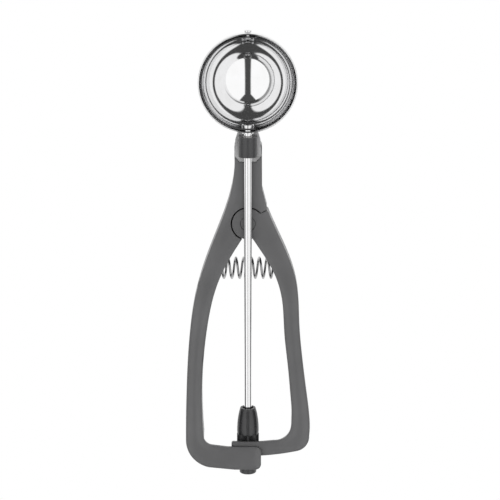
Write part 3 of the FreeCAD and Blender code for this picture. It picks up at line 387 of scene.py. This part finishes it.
def lathe(name, profile, turns, centre, axis):
    """Spin an open profile of (radius, height) points, in millimetres, about an axis through centre."""
    mesh = bmesh.new()
    along = Vector(axis).normalized()
    side = along.orthogonal().normalized()
    across = along.cross(side)
    rings = []
    for step in range(turns):
        angle = 2 * math.pi * step / turns
        way = side * math.cos(angle) + across * math.sin(angle)
        rings.append([mesh.verts.new(centre + (way * radius + along * height) * MM)
                      for radius, height in profile])
    for step in range(turns):
        ring, following = rings[step], rings[(step + 1) % turns]
        for place in range(len(profile) - 1):
            mesh.faces.new((ring[place], ring[place + 1], following[place + 1], following[place]))
    bmesh.ops.remove_doubles(mesh, verts=mesh.verts, dist=1e-7)
    bmesh.ops.recalc_face_normals(mesh, faces=mesh.faces)
    for face in mesh.faces:
        face.smooth = True
    data = bpy.data.meshes.new(name)
    mesh.to_mesh(data)
    mesh.free()
    item = bpy.data.objects.new(name, data)
    bpy.context.scene.collection.objects.link(item)
    return item


# Bowl: one pressed half ball with a short straight skirt up to a rounded rim

BOWL_REACH = 85.5
BOWL_CENTRE = local(0, BOWL_REACH, 0)
BOWL_INNER = 28.3
BOWL_OUTER = 29.2
RIM = 4.5
BOWL_TURNS = 192


def bowl_profile():
    """The bowl's section from the middle of its outside over the rim to the middle of its inside."""
    points = [(BOWL_OUTER * math.sin(math.radians(step)), -BOWL_OUTER * math.cos(math.radians(step)))
              for step in range(0, 91, 2)]
    bead = (BOWL_OUTER - BOWL_INNER) / 2
    points += [(BOWL_OUTER, RIM / 3), (BOWL_OUTER, 2 * RIM / 3), (BOWL_OUTER, RIM - bead)]
    points += [(BOWL_OUTER - bead + bead * math.cos(math.radians(step)),
                RIM - bead + bead * math.sin(math.radians(step))) for step in range(15, 180, 15)]
    points += [(BOWL_INNER, RIM - bead), (BOWL_INNER, 2 * RIM / 3), (BOWL_INNER, RIM / 3)]
    points += [(BOWL_INNER * math.sin(math.radians(step)), -BOWL_INNER * math.cos(math.radians(step)))
               for step in range(90, -1, -2)]
    return points


bowl = lathe("bowl_shell", bowl_profile(), BOWL_TURNS, BOWL_CENTRE, (0, 0, 1))
finish(bowl, MIRROR)
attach(bowl, "frame")
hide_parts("bowl")


# Handle, saddle and the small moulded and turned pieces

HUB_GAP_RADIUS = 10.6
NECK_RECESS_HALF = 7.7
NECK_RECESS_START = 37.0


def on_outer_rim(x, y):
    """True for a front or back edge that isn't the hub's, the neck recess's or a slot's."""
    in_recess = abs(x) < NECK_RECESS_HALF and y > NECK_RECESS_START
    return math.hypot(x, y) > HUB_GAP_RADIUS and not in_recess and not on_joint_line(x, y)


def on_joint_line(x, y):
    """True on the short gap between the handle's shoulder and the lever's."""
    return 0 < x < 11.2 and 6.0 < y < 9.2


def front_depth(y):
    """The legs are full round in front, and flatter at the hub over the spring and at the foot."""
    return 0.9 + 1.9 * smooth(y, -32, -60) - 0.8 * smooth(y, -124, -137)


def back_depth(y):
    return 0.6 + 0.8 * smooth(y, -40, -60) - 0.6 * smooth(y, -126, -137)


def smooth(value, start, end):
    """A share from 0 to 1 as a value runs from start to end."""
    share = min(1.0, max(0.0, (value - start) / (end - start)))
    return share * share * (3 - 2 * share)


FRONT_REACH = 5.0
BACK_REACH = 3.0
CROWNS = [(1, FRONT_REACH, front_depth, on_outer_rim), (-1, BACK_REACH, back_depth, on_outer_rim)]

for node, body in (("frame_handle", "frame"), ("squeeze_lever", "lever")):
    refined(node, 0.2, GREY, body, segments=2, edge_angle=40, crowns=CROWNS)

for node, width, material, slot, body, segments in (
        ("bowl_saddle", 0.25, SATIN, "satin_steel", "frame", 3),
        ("rod_collar", 0.5, DARK, "dark_plastic", "frame", 3),
        ("pinion", 0.2, DARK, "dark_plastic", "rotor", 2),
        ("end_cap", 0.25, DARK, "dark_plastic", "rotor", 3),
        ("sweep_blade", 0.18, BLADE, "mirror_steel", "rotor", 3),
        ("blade_nut", 0.2, BLADE, "mirror_steel", "rotor", 3),
        ("blade_tip_pin", 0.2, MIRROR, "mirror_steel", "rotor", 3),
        ("lever_pivot_pin", 0.3, GREY, "grey_plastic", "frame", 3),
        ("cap_screw", 0.15, SCREW, "screw_steel", "rotor", 3),
        ("collar_screws", 0.15, SCREW, "screw_steel", "frame", 3),
        ("pivot_push_nut", 0.15, SCREW, "screw_steel", "frame", 3),
        ("pivot_washer", 0.12, SCREW, "screw_steel", "frame", 3),
        ("drive_rod", 0.25, ROD, "rod_steel", "rotor", 3)):
    refined(node, width, material, body, segments)

for name, material in (("collar_bushing", BEARING), ("bowl_bushing", MIRROR), ("tip_eyelet", MIRROR),
                       ("foot_bushing", BEARING), ("pivot_sleeve", BEARING), ("pinion_cross_pin", SCREW)):
    finish(nodes[name], material)


# Return spring: a smooth wound wire

SPRING_SEAT = 21.0
SPRING_RADIUS = 6.15
SPRING_WIRE = 1.4
SPRING_TURNS = 7
SPRING_Y = -28.8
SPRING_Z = -10.3
SPRING_LEAD = 4.6
TURN_STEPS = 36


def spring_path():
    """Points along the wound wire, from the left leg's seat to the lever's."""
    points = []
    pitch = 2 * (SPRING_SEAT - SPRING_LEAD) / SPRING_TURNS
    for step in range(SPRING_TURNS * TURN_STEPS + 1):
        angle = 2 * math.pi * step / TURN_STEPS
        points.append(local(-SPRING_SEAT + SPRING_LEAD + pitch * step / TURN_STEPS,
                            SPRING_Y + SPRING_RADIUS * math.cos(angle),
                            SPRING_Z + SPRING_RADIUS * math.sin(angle)))
    return points


def spring():
    curve = bpy.data.curves.new("return_spring_wire", "CURVE")
    curve.dimensions = "3D"
    curve.bevel_depth = SPRING_WIRE / 2 * MM
    curve.bevel_resolution = 5
    curve.use_fill_caps = True
    path = spring_path()
    line = curve.splines.new("NURBS")
    line.points.add(len(path) - 1)
    for point, place in zip(line.points, path):
        point.co = (*place, 1)
    line.order_u = 4
    line.use_endpoint_u = True
    source = bpy.data.objects.new("wire_source", curve)
    bpy.context.scene.collection.objects.link(source)
    depsgraph = bpy.context.evaluated_depsgraph_get()
    data = bpy.data.meshes.new_from_object(source.evaluated_get(depsgraph))
    bpy.data.objects.remove(source)
    item = bpy.data.objects.new("return_spring_wire", data)
    bpy.context.scene.collection.objects.link(item)
    for face in data.polygons:
        face.use_smooth = True
    finish(item, WIRE)
    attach(item, "frame")
    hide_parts("return_spring")
    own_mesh(item)


spring()


# Floor, tilted so that the bowl's dome and the foot's back both rest on it

HEEL_RUN = 2.6
FOOT_BACK = 0.0227


def rest_plane():
    """A point on the floor and the floor's normal, touching the dome and the foot's back edge."""
    foot = Vector((0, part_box("frame_handle")[0][1] + HEEL_RUN * MM, FOOT_BACK))
    reach = Vector((0, BOWL_CENTRE.y, BOWL_CENTRE.z)) - foot
    slope = math.atan2(reach.z, reach.y) - math.asin(BOWL_OUTER * MM / reach.length)
    normal = Vector((0, -math.sin(slope), math.cos(slope)))
    return foot, normal


def camera_and_mirrors(tree):
    """1 for rays from the camera and for those that polished surfaces or clear ones send on."""
    path = tree.nodes.new("ShaderNodeLightPath")
    total = path.outputs["Is Camera Ray"]
    for name in ("Is Glossy Ray", "Is Transmission Ray"):
        either = tree.nodes.new("ShaderNodeMath")
        either.operation = "MAXIMUM"
        tree.links.new(total, either.inputs[0])
        tree.links.new(path.outputs[name], either.inputs[1])
        total = either.outputs[0]
    return total


FLOOR_HALF = 3.0
FLOOR_DROP = 0.0002


def floor():
    foot, normal = rest_plane()
    mesh = bmesh.new()
    bmesh.ops.create_grid(mesh, x_segments=4, y_segments=4, size=FLOOR_HALF)
    turn = Vector((0, 0, 1)).rotation_difference(normal).to_matrix().to_4x4()
    bmesh.ops.transform(mesh, matrix=Matrix.Translation(foot - normal * FLOOR_DROP) @ turn, verts=mesh.verts)
    data = bpy.data.meshes.new("floor")
    mesh.to_mesh(data)
    mesh.free()
    item = bpy.data.objects.new("floor", data)
    bpy.context.scene.collection.objects.link(item)
    material = bpy.data.materials.new("white_floor")
    material.use_nodes = True
    tree = material.node_tree
    tree.nodes.clear()
    output = tree.nodes.new("ShaderNodeOutputMaterial")
    matt = tree.nodes.new("ShaderNodeBsdfDiffuse")
    matt.inputs["Color"].default_value = (0.85, 0.85, 0.85, 1)
    white = tree.nodes.new("ShaderNodeEmission")
    white.inputs["Color"].default_value = (1, 1, 1, 1)
    mix = tree.nodes.new("ShaderNodeMixShader")
    tree.links.new(camera_and_mirrors(tree), mix.inputs["Fac"])
    tree.links.new(matt.outputs[0], mix.inputs[1])
    tree.links.new(white.outputs[0], mix.inputs[2])
    tree.links.new(mix.outputs[0], output.inputs["Surface"])
    data.materials.append(material)


floor()


# Studio: a soft box on each side of the camera with a flared gap between them, and dimmer cards lower

def studio():
    world = bpy.data.worlds.new("studio")
    bpy.context.scene.world = world
    world.use_nodes = True
    tree = world.node_tree
    tree.nodes.clear()
    output = tree.nodes.new("ShaderNodeOutputWorld")
    way = tree.nodes.new("ShaderNodeTexCoord").outputs["Generated"]
    split = tree.nodes.new("ShaderNodeSeparateXYZ")
    tree.links.new(way, split.inputs[0])
    east, north, up = split.outputs

    def calc(kind, *values):
        node = tree.nodes.new("ShaderNodeMath")
        node.operation = kind
        for place, value in enumerate(values):
            if isinstance(value, (int, float)):
                node.inputs[place].default_value = value
            else:
                tree.links.new(value, node.inputs[place])
        return node.outputs[0]

    def ramp(value, low, high):
        node = tree.nodes.new("ShaderNodeMapRange")
        node.interpolation_type = "SMOOTHSTEP"
        node.inputs["From Min"].default_value = low
        node.inputs["From Max"].default_value = high
        tree.links.new(value, node.inputs["Value"])
        return node.outputs["Result"]

    out = calc("ABSOLUTE", east)
    flare = calc("MULTIPLY", calc("MAXIMUM", calc("SUBTRACT", north, 0.62), 0), 1.2)
    boxes = calc("MULTIPLY", ramp(up, 0.47, 0.50), ramp(calc("SUBTRACT", out, flare), 0.09, 0.15))
    card_edge = calc("SUBTRACT", out, calc("MULTIPLY", calc("ABSOLUTE", north), 0.5))
    cards = calc("MULTIPLY", ramp(up, 0.10, 0.16), ramp(card_edge, 0.05, 0.30))
    lit = calc("MAXIMUM", calc("MULTIPLY", boxes, 1.3), calc("MULTIPLY", cards, 0.46))
    lit = calc("ADD", lit, 0.09)
    below = calc("SUBTRACT", 1, ramp(up, -0.02, 0.0))
    lit = calc("MAXIMUM", lit, below)
    studio_light = tree.nodes.new("ShaderNodeBackground")
    tree.links.new(lit, studio_light.inputs["Strength"])
    white = tree.nodes.new("ShaderNodeBackground")
    white.inputs["Color"].default_value = (1, 1, 1, 1)
    white.inputs["Strength"].default_value = 1.0
    mix = tree.nodes.new("ShaderNodeMixShader")
    tree.links.new(tree.nodes.new("ShaderNodeLightPath").outputs["Is Camera Ray"], mix.inputs["Fac"])
    tree.links.new(studio_light.outputs[0], mix.inputs[1])
    tree.links.new(white.outputs[0], mix.inputs[2])
    tree.links.new(mix.outputs[0], output.inputs["Surface"])


studio()


# Camera at the photograph's place

LENS = 157.7
FILM_WIDTH = 36.0
CAMERA_TARGET = local(1.25, -15.2, 0)
CAMERA_PLACE = local(1.25, 305.9, 1259.7)


def camera():
    data = bpy.data.cameras.new("camera")
    data.lens = LENS
    data.sensor_width = FILM_WIDTH
    data.clip_start = 0.05
    data.clip_end = 20.0
    item = bpy.data.objects.new("camera", data)
    bpy.context.scene.collection.objects.link(item)
    back = (CAMERA_PLACE - CAMERA_TARGET).normalized()
    right = Vector((0, 1, 0)).cross(back).normalized()
    turn = Matrix((right, back.cross(right), back)).transposed()
    item.matrix_world = Matrix.Translation(CAMERA_PLACE) @ turn.to_4x4()
    bpy.context.scene.camera = item


camera()
bpy.context.scene.view_settings.view_transform = "Standard"

# Light meets the bowl's wall many times near the rim
bpy.context.scene.cycles.glossy_bounces = 9
